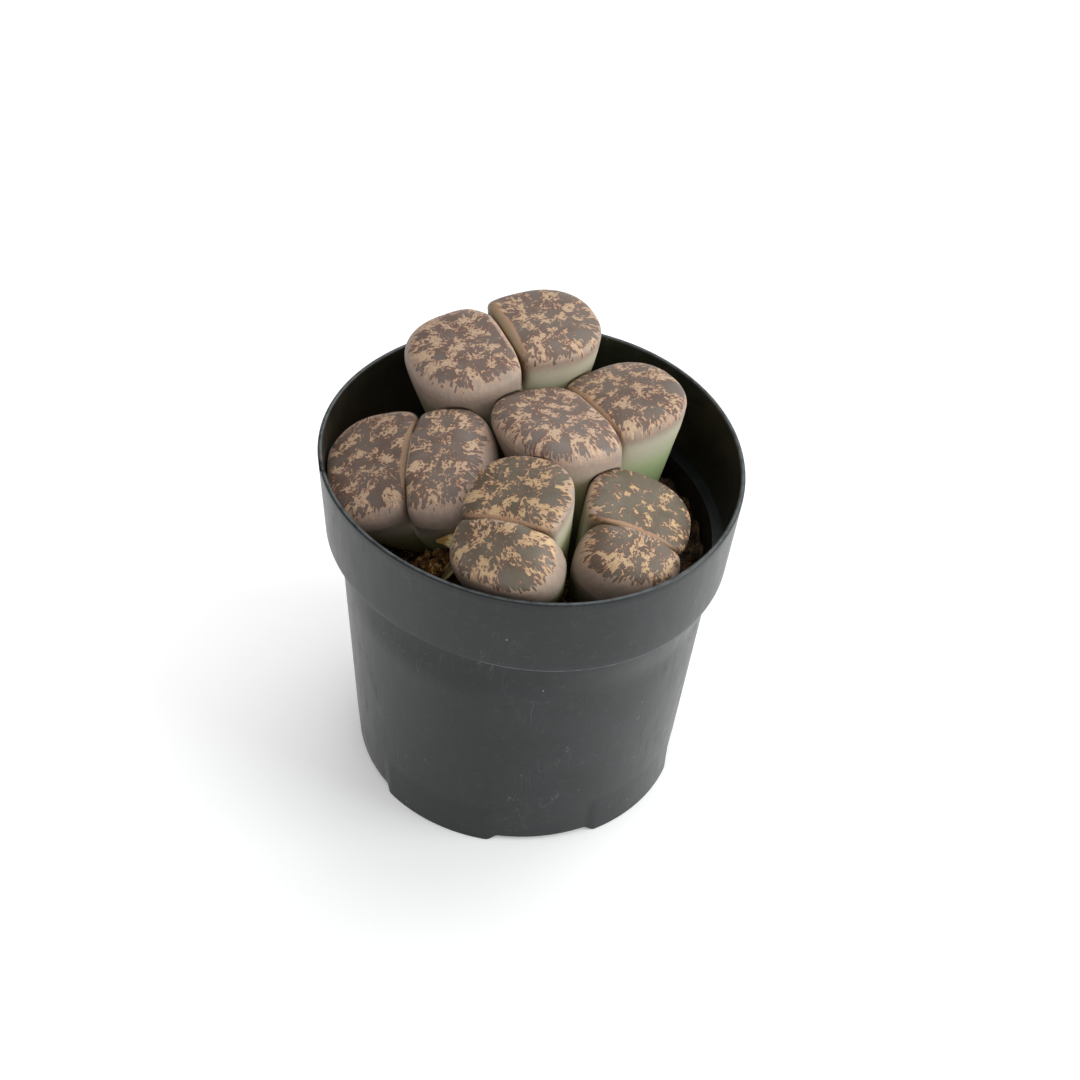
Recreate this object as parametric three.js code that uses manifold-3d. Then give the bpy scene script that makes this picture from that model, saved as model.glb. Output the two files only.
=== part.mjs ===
// Potted lithops: five plant bodies, each a pair of fused leaves on a short root, in gritty
// soil, in a thin round nursery pot with a tall collar and four low feet.
// Millimetres, +Z up. The origin is the middle of the pot's footprint, on the surface that
// the pot stands on. The front of the pot is -Y and its right side +X.
import * as THREE from 'three';
import { mergeVertices } from 'three/addons/utils/BufferGeometryUtils.js';
import Module from 'manifold-3d';

const wasm = await Module();
wasm.setup();

// ---------- driving dimensions ----------

const GAP = 0.3;          // clearance between neighbouring pieces

const POT = {
  rimRadius: 32.5,        // outside, at the top
  height: 61,
  collarHeight: 15.7,     // the wider band at the top
  collarFootRadius: 31.2,
  bodyTopRadius: 29.8,    // just under the collar
  bodyFootRadius: 26.05,
  wall: 1.1,
  ledgeRadius: 30.4,      // inside corner where the collar meets the ledge
  lipRadius: 0.4,         // half the rim's thickness, fully rounded
  edgeRadius: 0.3,        // rounded edge of the base
  innerCornerRadius: 1.9, // inside, between floor and wall
  floorRecess: 1.2,       // the floor is raised inside its bottom ring
  floorRadius: 21.6,
  floorThickness: 1.2,
  roundBelow: 36,         // height under which the pot is truly round
  segments: 60,
};

// The thin rim is a little out of round: shares of the radius, and degrees.
const RIM_WARP = { squeeze: 0.027, narrowAt: 68, lobes: 0.012, lobeAt: 57 };

// The edge of the base is drawn down into two pairs of feet.
const FEET = {
  angles: [63, 142.5, 243, 322.5],   // degrees, their middles
  fullSpan: 40,           // degrees at full height
  ramp: 4,                // degrees over which each end fades
  height: 0.8,            // how far the base hangs above the surface between them
  outerRadius: 26.55,
  fadesAt: 7,             // height at which a foot has run out into the wall
};

const DRAIN = { count: 4, radius: 2.6, ringRadius: 15, sides: 14, firstAngle: 10 };

const SOIL = {
  level: 42.6,            // mean height of its surface
  sectors: 46,
  rings: 11,
  waviness: 0.55,
  crumbs: 60,
  crumbMargin: 3.6,       // bare edge along the pot
  seed: 20417,
  mounds: [               // where the mix is heaped against the plants
    { x: -12.8, y: -11.3, height: 8.2, spread: 4.7 },
    { x: 0, y: 0, height: 2, spread: 12 },
  ],
};

// A leaf's outline is an oval, flattened where it faces the other leaf of its pair.
const LEAF = {
  points: 26,             // round its outline
  ovalExponent: 2.3,
  cornerSharpness: 13,    // how tightly the oval turns into the flat side
  farFrom: 0.5,           // cosine from which a leaf's own far corner is fully followed
  middle: 0.42,           // the outline's centre, as a share of the leaf's depth
  innerReach: 1.7,        // the oval's reach past the flat side, in units of that share
  crownOutside: 2.8,      // exponents of the crown's profile: a soft outer shoulder
  crownInside: 4,         // and a tighter lip along the fissure
  lipFrom: 0.5,           // where the crown's drop starts to lessen towards the lip on the
  lipTo: 0.85,            // fissure, and where it has; sines of the angle turned inwards
  taper: 1.15,            // exponent of the body's narrowing towards the neck
  crownRings: [0.35, 0.62, 0.8, 0.91, 0.975, 1],
  bodyRings: [0.08, 0.2, 0.38, 0.68, 1],
};

const FISSURE = { width: 0.5, openTo: 0.1, closedFrom: 0.3, overlap: 1.3 };

const ROOT = { topRadius: 3.2, tipRadius: 1.4, length: 9, sunk: 3, sides: 12 };

// Each plant body. at: middle of the fissure at the top. lean: sideways run of the axis for
// each unit of rise. fissure: its direction in degrees from +X. length: from the top to the
// neck. neck: section at the neck as a share of the section at the shoulder.
// Each leaf. half: half its length along the fissure. depth: from the fissure outwards.
// tilt: fall of its face outwards, degrees. crown: drop of the face's rounded margin; lip: its
// smaller drop on the fissure. shift and rise: place of the leaf along the fissure and upwards.
// farCorner: the corner sharpness at its far end, where that is softer.
const HEADS = [
  {
    name: 'head_back_left', at: [-6.7, 19.5, 70], lean: [-0.08, 0.05], fissure: -65, length: 26, neck: 0.58,
    right: { half: 9.4, depth: 15.6, tilt: 2, crown: 2.3, lip: 1.5, shift: 0, rise: 0 },
    left: { half: 10.5, depth: 15.5, tilt: 5, crown: 3.2, lip: 0.8, shift: 1.1, rise: 0.4, farCorner: 5 },
  },
  {
    name: 'head_middle', at: [7.8, 6.9, 66.5], lean: [-0.1, 0.17], fissure: -58, length: 25, neck: 0.45,
    right: { half: 9.7, depth: 15.2, tilt: -5, crown: 2.7, lip: 1.5, shift: 0, rise: 0 },
    left: { half: 10.9, depth: 15.9, tilt: -9, crown: 3.8, lip: 1.1, shift: 2, rise: 0.9 },
  },
  {
    name: 'head_left', at: [-19.7, -5.2, 64.5], lean: [-0.32, -0.14], fissure: -94, length: 23, neck: 0.34,
    right: { half: 11.1, depth: 12.7, tilt: 6, crown: 5.2, lip: 1.4, shift: 0, rise: 0 },
    left: { half: 11.2, depth: 15.6, tilt: 6, crown: 4.4, lip: 1.2, shift: -1.7, rise: -1.9 },
  },
  {
    name: 'head_front', at: [-3.9, -21.8, 67.2], lean: [-0.32, -0.38], fissure: -14, length: 23, neck: 0.36,
    right: { half: 8.2, depth: 13, tilt: 11, crown: 2.5, lip: 1.4, shift: 0, rise: 0 },
    left: { half: 8.6, depth: 9.6, tilt: 11, crown: 7.3, lip: 3.6, shift: 0.7, rise: 3.4 },
  },
  {
    name: 'head_right', at: [16.7, -17.2, 62.7], lean: [0.35, -0.33], fissure: -10, length: 23, neck: 0.34,
    right: { half: 8.5, depth: 12.5, tilt: 11, crown: 2.7, lip: 1.4, shift: 0, rise: 0 },
    left: { half: 8, depth: 9.4, tilt: 11, crown: 6.2, lip: 2.5, shift: 0.4, rise: 2.3 },
  },
];

// A flake of old leaf skin: a thin blade pressed into the heaped soil, bent over to the left.
const DRY_SKIN = {
  foot: [-12.6, -14.8, 47.8],
  knee: [-6.8, -16.7, 58.9],    // control point of its bend
  tip: [-13.7, -15.7, 56.4],
  across: [0.1, 0.62, 0.78],    // direction of its width
  width: 3.6,                   // at its widest
  footShare: 0.45,              // shares of that width at its two ends
  tipShare: 0.12,
  hollow: 3.2,                  // radius of the curl across it
  thickness: 0.6,
  columns: 6,
  rows: 8,
};

const COLOURS = {
  pot: { color: 0x1c1d1d, roughness: 0.42, metalness: 0 },
  soil: { color: 0x3a2a1c, roughness: 0.95, metalness: 0 },
  leaf: { color: 0x9b8a78, roughness: 0.55, metalness: 0 },
  skin: { color: 0xc9a562, roughness: 0.7, metalness: 0 },
};

// ---------- small helpers ----------

const COLLAR_FOOT = POT.height - POT.collarHeight;
const radians = THREE.MathUtils.degToRad;
const lerp = THREE.MathUtils.lerp;
const smoothstep = THREE.MathUtils.smoothstep;

function randomSource(seed) {
  let state = seed;
  return () => {
    state = (state * 1664525 + 1013904223) % 4294967296;
    return state / 4294967296;
  };
}

// A closed geometry as a solid that can be joined and cut.
function solidFrom(geometry) {
  const bare = geometry.index ? geometry.clone() : geometry;
  bare.deleteAttribute('normal');
  bare.deleteAttribute('uv');
  const merged = mergeVertices(bare, 1e-4);
  return new wasm.Manifold(new wasm.Mesh({
    numProp: 3,
    vertProperties: new Float32Array(merged.attributes.position.array),
    triVerts: new Uint32Array(merged.index.array),
  }));
}

function geometryFrom(solid) {
  const mesh = solid.getMesh();
  const geometry = new THREE.BufferGeometry();
  geometry.setAttribute('position', new THREE.BufferAttribute(mesh.vertProperties, 3));
  geometry.setIndex(new THREE.BufferAttribute(mesh.triVerts, 1));
  geometry.computeVertexNormals();
  return geometry;
}

// A closed skin over a stack of rings of points, from the top one down. Each ring runs
// counterclockwise seen from above; the ends are closed by a single point each.
function skinOverRings(top, rings, bottom) {
  const count = rings[0].length;
  const positions = [top, ...rings.flat(), bottom].flatMap((point) => point.toArray());
  const at = (ring, i) => 1 + ring * count + (i % count);
  const last = 1 + rings.length * count;
  const triangles = [];
  for (let i = 0; i < count; i += 1) {
    triangles.push(0, at(0, i), at(0, i + 1));
    triangles.push(last, at(rings.length - 1, i + 1), at(rings.length - 1, i));
    for (let ring = 0; ring < rings.length - 1; ring += 1) {
      triangles.push(at(ring, i), at(ring + 1, i), at(ring + 1, i + 1));
      triangles.push(at(ring, i), at(ring + 1, i + 1), at(ring, i + 1));
    }
  }
  const geometry = new THREE.BufferGeometry();
  geometry.setAttribute('position', new THREE.Float32BufferAttribute(positions, 3));
  geometry.setIndex(triangles);
  return geometry;
}

// ---------- pot ----------

// The rim is slightly out of round, fading to truly round lower down.
function warpedRadius(radius, angle, z) {
  const share = smoothstep(z, POT.roundBelow, COLLAR_FOOT);
  const squeeze = RIM_WARP.squeeze * Math.cos(2 * (angle - radians(RIM_WARP.narrowAt)));
  const lobes = RIM_WARP.lobes * Math.cos(3 * (angle - radians(RIM_WARP.lobeAt)));
  return radius * (1 + share * (lobes - squeeze));
}

function warpGeometry(geometry) {
  const position = geometry.attributes.position;
  for (let i = 0; i < position.count; i += 1) {
    const angle = Math.atan2(position.getY(i), position.getX(i));
    const z = position.getZ(i);
    const radius = warpedRadius(Math.hypot(position.getX(i), position.getY(i)), angle, z);
    position.setXY(i, radius * Math.cos(angle), radius * Math.sin(angle));
  }
  return geometry;
}

function bodyRadius(z) {
  return lerp(POT.bodyFootRadius, POT.bodyTopRadius, z / COLLAR_FOOT);
}

function arcPoints(centreR, centreZ, radius, fromDegrees, toDegrees, steps) {
  const points = [];
  for (let i = 0; i <= steps; i += 1) {
    const angle = radians(lerp(fromDegrees, toDegrees, i / steps));
    points.push(new THREE.Vector2(centreR + radius * Math.cos(angle), centreZ + radius * Math.sin(angle)));
  }
  return points;
}

function innerCorner() {
  const floorTop = FEET.height + POT.floorRecess + POT.floorThickness;
  const radius = POT.innerCornerRadius;
  const centreZ = floorTop + radius;
  return { radius, centreR: bodyRadius(centreZ) - POT.wall - radius, centreZ, floorTop };
}

// Half the wall's section from the axis under the floor, up the outside, over the rim and
// down the inside to the axis on the floor. The edge of the base is given.
function wallProfile(baseEdge) {
  const underside = FEET.height + POT.floorRecess;
  const inner = innerCorner();
  const lipR = POT.rimRadius - POT.lipRadius;
  const lipZ = POT.height - POT.lipRadius;
  const shelf = COLLAR_FOOT + POT.wall;
  return [
    new THREE.Vector2(0, underside),
    new THREE.Vector2(POT.floorRadius, underside),
    ...baseEdge,
    new THREE.Vector2(bodyRadius(FEET.fadesAt), FEET.fadesAt),
    new THREE.Vector2(bodyRadius(POT.roundBelow), POT.roundBelow),
    new THREE.Vector2(POT.bodyTopRadius, COLLAR_FOOT),
    new THREE.Vector2(POT.collarFootRadius - POT.lipRadius / 2, COLLAR_FOOT),
    new THREE.Vector2(POT.collarFootRadius, COLLAR_FOOT + POT.lipRadius / 2),
    ...arcPoints(lipR, lipZ, POT.lipRadius, 0, 180, 4),
    new THREE.Vector2(POT.ledgeRadius, shelf),
    new THREE.Vector2(POT.bodyTopRadius - POT.wall, shelf),
    new THREE.Vector2(bodyRadius(POT.roundBelow) - POT.wall, POT.roundBelow),
    ...arcPoints(inner.centreR, inner.centreZ, inner.radius, 0, -90, 2),
    new THREE.Vector2(0, inner.floorTop),
  ];
}

// 1 on a foot, 0 between the feet.
function footShare(angle) {
  const offsets = FEET.angles.map((middle) => {
    const turned = THREE.MathUtils.radToDeg(angle) - middle;
    return Math.abs(turned - 360 * Math.round(turned / 360));
  });
  return 1 - THREE.MathUtils.clamp((Math.min(...offsets) - FEET.fullSpan / 2) / FEET.ramp, 0, 1);
}

function potSolid() {
  const innerFoot = POT.floorRadius + POT.floorRecess / 2;
  const edge = (outerRadius, low) => [
    new THREE.Vector2(innerFoot, low),
    ...arcPoints(outerRadius - POT.edgeRadius, low + POT.edgeRadius, POT.edgeRadius, -90, 0, 4),
  ];
  const plain = wallProfile(edge(POT.bodyFootRadius, FEET.height));
  const footed = wallProfile(edge(FEET.outerRadius, 0));
  const shell = new THREE.LatheGeometry(plain, POT.segments);
  shell.rotateX(Math.PI / 2);
  const position = shell.attributes.position;
  for (let i = 0; i < position.count; i += 1) {
    const angle = Math.atan2(position.getY(i), position.getX(i));
    const section = plain[i % plain.length].clone().lerp(footed[i % plain.length], footShare(angle));
    position.setXYZ(i, section.x * Math.cos(angle), section.x * Math.sin(angle), section.y);
  }
  let pot = solidFrom(warpGeometry(shell));
  for (let i = 0; i < DRAIN.count; i += 1) {
    pot = pot.subtract(drainSolid(radians(DRAIN.firstAngle + i * 360 / DRAIN.count)));
  }
  return pot;
}

function drainSolid(angle) {
  const height = 2 * innerCorner().floorTop;
  const hole = new THREE.CylinderGeometry(DRAIN.radius, DRAIN.radius, height, DRAIN.sides);
  hole.rotateX(Math.PI / 2);
  hole.translate(DRAIN.ringRadius * Math.cos(angle), DRAIN.ringRadius * Math.sin(angle), height / 2);
  return solidFrom(hole);
}

// ---------- plants ----------

// The outline's point at an angle, in the leaf's plane: x along the fissure, y outwards.
function leafOutline(leaf, angle) {
  const halfGap = FISSURE.width / 2;
  const middle = LEAF.middle * leaf.depth + halfGap;
  const along = Math.cos(angle);
  const out = Math.sin(angle);
  const reach = out > 0 ? leaf.depth + halfGap - middle : LEAF.innerReach * middle;
  const oval = ((Math.abs(along) / leaf.half) ** LEAF.ovalExponent
    + (Math.abs(out) / reach) ** LEAF.ovalExponent) ** (-1 / LEAF.ovalExponent);
  const flat = (middle - halfGap) / Math.max(-out, 1e-3);
  const farSharp = leaf.farCorner ?? LEAF.cornerSharpness;
  const sharp = lerp(LEAF.cornerSharpness, farSharp, smoothstep(-along, 0, LEAF.farFrom));
  const radius = (oval ** -sharp + flat ** -sharp) ** (-1 / sharp);
  return { x: radius * along, y: middle + radius * out, middle };
}

// One leaf in its pair's frame: x along the fissure, y across it, z up the axis.
// The rings run from the crown's middle over the shoulder and down the body to the neck.
function leafSolid(head, leaf, side, clearance) {
  const fall = Math.tan(radians(leaf.tilt));
  const neckLevel = -head.length - 2 * clearance;
  const rings = [...LEAF.crownRings, ...LEAF.bodyRings].map(() => []);
  const raised = (z) => z + clearance + leaf.rise * Math.max(0, 1 + Math.min(0, z) / head.length);
  let top;
  for (let i = 0; i < LEAF.points; i += 1) {
    const angle = side * 2 * Math.PI * i / LEAF.points;
    const edge = leafOutline(leaf, angle);
    const inward = Math.max(0, -Math.sin(angle));
    const exponent = lerp(LEAF.crownOutside, LEAF.crownInside, inward ** 1.5);
    const fullDrop = lerp(leaf.crown, leaf.lip, smoothstep(-Math.sin(angle), LEAF.lipFrom, LEAF.lipTo));
    const point = (x, y, z, grown = 1) => new THREE.Vector3(
      x + leaf.shift + grown * clearance * Math.cos(angle),
      side * (y + grown * clearance * Math.sin(angle)),
      raised(z),
    );
    top = point(0, edge.middle, -fall * edge.middle, 0);
    LEAF.crownRings.forEach((share, ring) => {
      const y = lerp(edge.middle, edge.y, share);
      const drop = fullDrop * (1 - (1 - share ** exponent) ** (1 / exponent));
      rings[ring].push(point(share * edge.x, y, -fall * y - drop, share));
    });
    const shoulder = -fall * edge.y - fullDrop;
    LEAF.bodyRings.forEach((share, ring) => {
      const scale = 1 - (1 - head.neck) * share ** LEAF.taper;
      const closing = FISSURE.overlap * smoothstep(share, FISSURE.openTo, FISSURE.closedFrom);
      const y = scale * edge.y - closing * (1 - Math.sin(angle)) / 2;
      rings[LEAF.crownRings.length + ring].push(point(scale * edge.x, y, lerp(shoulder, neckLevel, share)));
    });
  }
  const neckMiddle = new THREE.Vector3(leaf.shift, side * leaf.depth * head.neck / 2, raised(neckLevel));
  return solidFrom(skinOverRings(top, rings, neckMiddle));
}

function rootSolid(head, clearance) {
  const root = new THREE.CylinderGeometry(
    ROOT.topRadius + clearance,
    ROOT.tipRadius + clearance,
    ROOT.length + ROOT.sunk + clearance,
    ROOT.sides,
  );
  root.rotateX(Math.PI / 2);
  root.translate(0, 0, -head.length + ROOT.sunk - (ROOT.length + ROOT.sunk + clearance) / 2);
  return solidFrom(root);
}

// The axes of a head: along the fissure, across it and up its leaning axis.
function headMatrix(head) {
  const up = new THREE.Vector3(head.lean[0], head.lean[1], 1).normalize();
  const fissure = radians(head.fissure);
  const along = new THREE.Vector3(Math.cos(fissure), Math.sin(fissure), 0);
  along.addScaledVector(up, -along.dot(up)).normalize();
  const across = new THREE.Vector3().crossVectors(up, along);
  return new THREE.Matrix4().makeBasis(along, across, up).setPosition(...head.at);
}

function headSolid(head, clearance = 0) {
  return leafSolid(head, head.right, 1, clearance)
    .add(leafSolid(head, head.left, -1, clearance))
    .add(rootSolid(head, clearance))
    .transform(headMatrix(head).toArray());
}

// The space of the collar's wall with its clearance. The outer leaves press on the rim.
function rimSpace() {
  const low = COLLAR_FOOT - GAP;
  const high = POT.height + GAP;
  const outside = POT.rimRadius + POT.collarHeight;
  const shelf = COLLAR_FOOT + POT.wall + GAP;
  const profile = [
    new THREE.Vector2(POT.bodyTopRadius - POT.wall - GAP, low),
    new THREE.Vector2(outside, low),
    new THREE.Vector2(outside, high),
    new THREE.Vector2(POT.rimRadius - 2 * POT.lipRadius, high),
    new THREE.Vector2(POT.rimRadius - 2 * POT.lipRadius - GAP, POT.height - POT.lipRadius),
    new THREE.Vector2(POT.ledgeRadius - GAP, shelf),
    new THREE.Vector2(POT.bodyTopRadius - POT.wall - GAP, shelf),
  ];
  profile.push(profile[0].clone());
  const ring = new THREE.LatheGeometry(profile, POT.segments);
  ring.rotateX(Math.PI / 2);
  return solidFrom(warpGeometry(ring));
}

// A head as it has grown among the others: dented where it presses on the rim and on the
// heads that stand in front of it.
function grownHead(index) {
  let head = headSolid(HEADS[index]).subtract(rimSpace());
  HEADS.slice(index + 1).forEach((other) => {
    head = head.subtract(headSolid(other, GAP));
  });
  return head;
}

// ---------- soil ----------

function soilHeight(x, y) {
  let height = SOIL.level;
  SOIL.mounds.forEach((mound) => {
    const distance = Math.hypot(x - mound.x, y - mound.y) / mound.spread;
    height += mound.height * Math.exp(-distance * distance);
  });
  const waves = Math.sin(0.9 * x + 1.3) * Math.cos(0.8 * y) + Math.sin(0.55 * x - 1.1 * y);
  return height + SOIL.waviness * waves;
}

function soilRadius(z) {
  return bodyRadius(z) - POT.wall - GAP;
}

function soilSolid(heads) {
  const random = randomSource(SOIL.seed);
  const inner = innerCorner();
  const floor = inner.floorTop + GAP;
  const sectorAngle = (i) => 2 * Math.PI * i / SOIL.sectors;
  const edgeOfTop = soilRadius(POT.roundBelow);   // shrunk a little from the pot's wall
  const rings = [];
  for (let ring = 1; ring <= SOIL.rings; ring += 1) {
    rings.push([]);
    for (let i = 0; i < SOIL.sectors; i += 1) {
      const angle = sectorAngle(i);
      const radius = warpedRadius(edgeOfTop * ring / SOIL.rings, angle, SOIL.level);
      const x = radius * Math.cos(angle);
      const y = radius * Math.sin(angle);
      rings[ring - 1].push(new THREE.Vector3(x, y, soilHeight(x, y)));
    }
  }
  const sideLevels = [
    [soilRadius(POT.roundBelow), POT.roundBelow],
    [soilRadius(inner.centreZ), inner.centreZ],
    [inner.centreR, floor],
  ];
  sideLevels.forEach(([radius, z]) => {
    rings.push(Array.from({ length: SOIL.sectors }, (_, i) => new THREE.Vector3(
      radius * Math.cos(sectorAngle(i)), radius * Math.sin(sectorAngle(i)), z,
    )));
  });
  const top = new THREE.Vector3(0, 0, soilHeight(0, 0));
  let soil = solidFrom(skinOverRings(top, rings, new THREE.Vector3(0, 0, floor)));
  for (let i = 0; i < SOIL.crumbs; i += 1) {
    soil = soil.add(crumbSolid(random));
  }
  heads.forEach((head) => {
    soil = soil.subtract(headSolid(head, GAP));
  });
  return soil.subtract(drySkinSolid(GAP));
}

// A gritty crumb, sunk by about half into the surface.
function crumbSolid(random) {
  const size = lerp(0.8, 2.1, random() ** 1.6);
  const angle = 2 * Math.PI * random();
  const radius = (soilRadius(SOIL.level) - SOIL.crumbMargin) * Math.sqrt(random());
  const x = radius * Math.cos(angle);
  const y = radius * Math.sin(angle);
  const crumb = random() < 0.5 ? new THREE.OctahedronGeometry(size) : new THREE.IcosahedronGeometry(size);
  crumb.scale(1, lerp(0.6, 1, random()), lerp(0.55, 0.9, random()));
  crumb.rotateX(2 * Math.PI * random());
  crumb.rotateY(2 * Math.PI * random());
  crumb.translate(x, y, soilHeight(x, y));
  return solidFrom(crumb);
}

// ---------- dry skin ----------

// The blade is hollowed across and narrows to its foot and to its tip.
function drySkinSolid(clearance = 0) {
  const { rows, columns } = DRY_SKIN;
  const spine = new THREE.QuadraticBezierCurve3(
    new THREE.Vector3(...DRY_SKIN.foot),
    new THREE.Vector3(...DRY_SKIN.knee),
    new THREE.Vector3(...DRY_SKIN.tip),
  );
  const sheet = (offset) => {
    const points = [];
    for (let row = 0; row <= rows; row += 1) {
      const v = row / rows;
      const along = spine.getTangent(v);
      const across = new THREE.Vector3(...DRY_SKIN.across);
      across.addScaledVector(along, -across.dot(along)).normalize();
      const out = new THREE.Vector3().crossVectors(across, along);
      const ends = lerp(DRY_SKIN.footShare, DRY_SKIN.tipShare, v);
      const width = DRY_SKIN.width * lerp(ends, 1, Math.sin(Math.PI * v)) + 2 * clearance;
      const middle = spine.getPoint(v).addScaledVector(along, (2 * v - 1) * clearance);
      for (let column = 0; column <= columns; column += 1) {
        const turn = width / DRY_SKIN.hollow * (column / columns - 0.5);
        const radius = DRY_SKIN.hollow + offset;
        points.push(middle.clone()
          .addScaledVector(across, radius * Math.sin(turn))
          .addScaledVector(out, radius * Math.cos(turn) - DRY_SKIN.hollow));
      }
    }
    return points;
  };
  const outside = sheet(DRY_SKIN.thickness / 2 + clearance);
  const inside = sheet(-DRY_SKIN.thickness / 2 - clearance);
  const positions = [...outside, ...inside].flatMap((point) => point.toArray());
  const back = outside.length;
  const at = (row, column) => row * (columns + 1) + column;
  const triangles = [];
  const quad = (a, b, c, d) => triangles.push(a, b, c, a, c, d);
  for (let row = 0; row < rows; row += 1) {
    for (let column = 0; column < columns; column += 1) {
      quad(at(row, column), at(row, column + 1), at(row + 1, column + 1), at(row + 1, column));
      quad(back + at(row, column), back + at(row + 1, column),
        back + at(row + 1, column + 1), back + at(row, column + 1));
    }
    quad(at(row, 0), at(row + 1, 0), back + at(row + 1, 0), back + at(row, 0));
    quad(at(row, columns), back + at(row, columns), back + at(row + 1, columns), at(row + 1, columns));
  }
  for (let column = 0; column < columns; column += 1) {
    quad(at(0, column), back + at(0, column), back + at(0, column + 1), at(0, column + 1));
    quad(at(rows, column), at(rows, column + 1), back + at(rows, column + 1), back + at(rows, column));
  }
  const geometry = new THREE.BufferGeometry();
  geometry.setAttribute('position', new THREE.Float32BufferAttribute(positions, 3));
  geometry.setIndex(triangles);
  return solidFrom(geometry);
}

// ---------- assembly ----------

function addPiece(group, name, solid, look) {
  const piece = new THREE.Mesh(geometryFrom(solid), new THREE.MeshStandardMaterial(look));
  piece.name = name;
  group.add(piece);
}

const plant = new THREE.Group();
addPiece(plant, 'pot', potSolid(), COLOURS.pot);
addPiece(plant, 'soil', soilSolid(HEADS), COLOURS.soil);
HEADS.forEach((head, index) => addPiece(plant, head.name, grownHead(index), COLOURS.leaf));
addPiece(plant, 'dry_skin_front', drySkinSolid(), COLOURS.skin);

export default plant;
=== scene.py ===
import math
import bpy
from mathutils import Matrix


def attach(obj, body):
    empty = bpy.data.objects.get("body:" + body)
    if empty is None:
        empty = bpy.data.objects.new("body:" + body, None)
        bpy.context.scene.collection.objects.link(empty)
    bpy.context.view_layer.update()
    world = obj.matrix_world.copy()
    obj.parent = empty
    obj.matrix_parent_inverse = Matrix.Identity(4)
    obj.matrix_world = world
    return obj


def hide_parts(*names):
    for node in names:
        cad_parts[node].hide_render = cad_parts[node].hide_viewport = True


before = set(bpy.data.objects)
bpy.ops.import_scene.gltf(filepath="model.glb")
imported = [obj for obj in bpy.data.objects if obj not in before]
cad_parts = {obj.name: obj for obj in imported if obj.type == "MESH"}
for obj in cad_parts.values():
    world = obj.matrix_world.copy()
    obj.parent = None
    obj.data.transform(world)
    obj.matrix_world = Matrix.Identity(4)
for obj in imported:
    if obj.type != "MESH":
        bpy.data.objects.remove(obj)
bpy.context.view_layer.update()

# Potted lithops: the looks. Sizes are in millimetres until a mesh is made, then in metres.
from types import SimpleNamespace as Sizes

import bmesh
import bpy
import numpy as np
from mathutils import Matrix, Vector, noise
from mathutils.bvhtree import BVHTree

MM = 0.001      # metres in a millimetre
GAP = 0.3       # clearance between neighbouring pieces
SLIVER = 0.006  # points closer than this are merged after meshes are joined
NEAR = 1.0      # margin of a neighbour's box in which points are tested against it

# ---------- camera ----------

CAMERA = Sizes(
    lens=100.0,
    sensor=36.0,
    clip_end=20.0,         # metres
    elevation=44.25,       # degrees above the horizon
    roll=4.35,             # degrees
    aim=(0.0, 0.0, 16.25),
    aside=(3.315, 18.98),  # the aim's offset in the picture's plane
    distance=494.2,
)

# ---------- pot ----------

POT = Sizes(
    rim_radius=32.5,       # outside, at the top
    height=61.0,
    collar_height=15.7,    # the wider band at the top
    collar_foot_radius=31.2,
    body_top_radius=29.8,  # just under the collar
    body_foot_radius=26.05,
    wall=1.1,
    ledge_radius=30.4,     # inside corner where the collar meets the ledge
    lip_radius=0.4,        # half the rim's thickness
    edge_radius=0.3,       # rounded edge of the base
    inner_corner_radius=1.9,
    floor_recess=1.2,
    floor_radius=21.6,
    floor_thickness=1.2,
    round_below=36.0,      # the pot is truly round below this height
    segments=360,
    sharp_angle=38.0,      # degrees between faces where an edge is drawn sharp
)
# How many steps each stretch of the wall's section takes.
WALL_STEPS = Sizes(edge=8, body=30, collar_edge=5, collar=12, lip=12, inside=10, inner_corner=6)
# The pot is out of round: shares of the radius, and degrees.
RIM_WARP = Sizes(squeeze=0.027, narrow_at=68.0, lobes=0.012, lobe_at=57.0)
FEET = Sizes(
    angles=(63.0, 142.5, 243.0, 322.5),  # degrees, the middle of each foot
    full_span=40.0,  # degrees of a foot's full height
    ramp=4.0,        # degrees in which a foot fades at its ends
    height=0.8,
    outer_radius=26.55,
    fades_at=7.0,    # height where a foot has run into the wall
)
DRAIN = Sizes(
    count=4, radius=2.6, ring_radius=15.0, sides=48, first_angle=10.0,
    low=-1.0, high=7.85,  # heights between which the tool cuts
)
# Moulding line on the collar: degrees and mm.
SEAM = Sizes(angle=273.2, width=0.28, height=0.07, starts=0.2, depth=0.4)
# Small dent in the rim: degrees and mm.
NICK = Sizes(angle=190.5, width=1.5, depth=0.75, reach=1.0)
COLLAR_FOOT = POT.height - POT.collar_height

# ---------- soil ----------

SOIL = Sizes(
    level=42.6,
    waviness=0.55,
    waves=(0.9, 1.3, 0.8, 0.55, -1.1),  # radians in a mm and one phase, as in the solids
    mounds=((-12.8, -11.3, 8.2, 4.7), (0.0, 0.0, 2.0, 12.0)),  # x, y, height, spread
    sectors=300,
    rings=110,
)
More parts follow.
